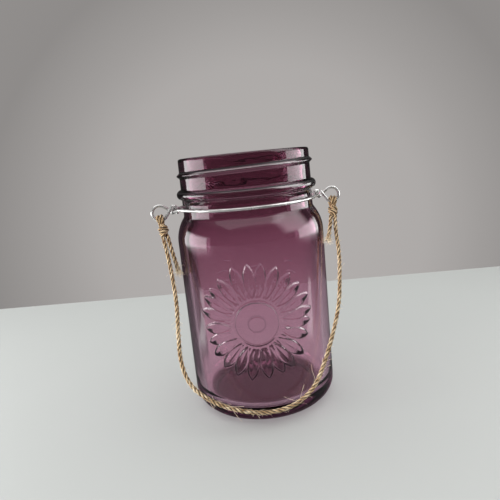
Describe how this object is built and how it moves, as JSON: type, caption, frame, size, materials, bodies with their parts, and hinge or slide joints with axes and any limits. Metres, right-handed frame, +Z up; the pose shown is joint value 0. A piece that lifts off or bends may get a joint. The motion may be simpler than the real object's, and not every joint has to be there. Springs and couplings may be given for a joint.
{
  "type": "mason jar lantern",
  "caption": "Coloured glass mason jar with an embossed sunflower, a wire collar round its neck with side eyes, and a jute twine handle for hanging it.",
  "frame": {"origin": "centre of the foot ring on the surface that the jar stands on", "axes": "+Z up along the jar's axis, the eyes of the collar on the X axis, the twine hangs on the -Y side, which is the front"},
  "size_m": [0.1072, 0.0856, 0.14],
  "materials": {
    "glass": "clear purple pressed glass",
    "wire": "galvanised",
    "twine": "twisted jute"
  },
  "bodies": {
    "jar": {"jar_glass": "glass"},
    "collar": {"back_wire": "wire", "front_wire": "wire"},
    "handle": {"twine_handle": "twine", "twine_loop_left": "twine", "twine_loop_right": "twine", "twine_hitch_left": "twine", "twine_hitch_right": "twine", "twine_tail_left": "twine", "twine_tail_right": "twine"}
  },
  "joints": [
    {"name": "collar_turn", "type": "hinge", "parent": "jar", "child": "collar", "pos_m": [0, 0, 0.1134], "axis": [0, 0, 1], "continuous": true},
    {"name": "handle_swing", "type": "hinge", "parent": "collar", "child": "handle", "pos_m": [0, 0, 0.11245], "axis": [-1, 0, 0], "range_deg": [0, 314], "deforming": ["twine_loop_left", "twine_loop_right"]}
  ]
}
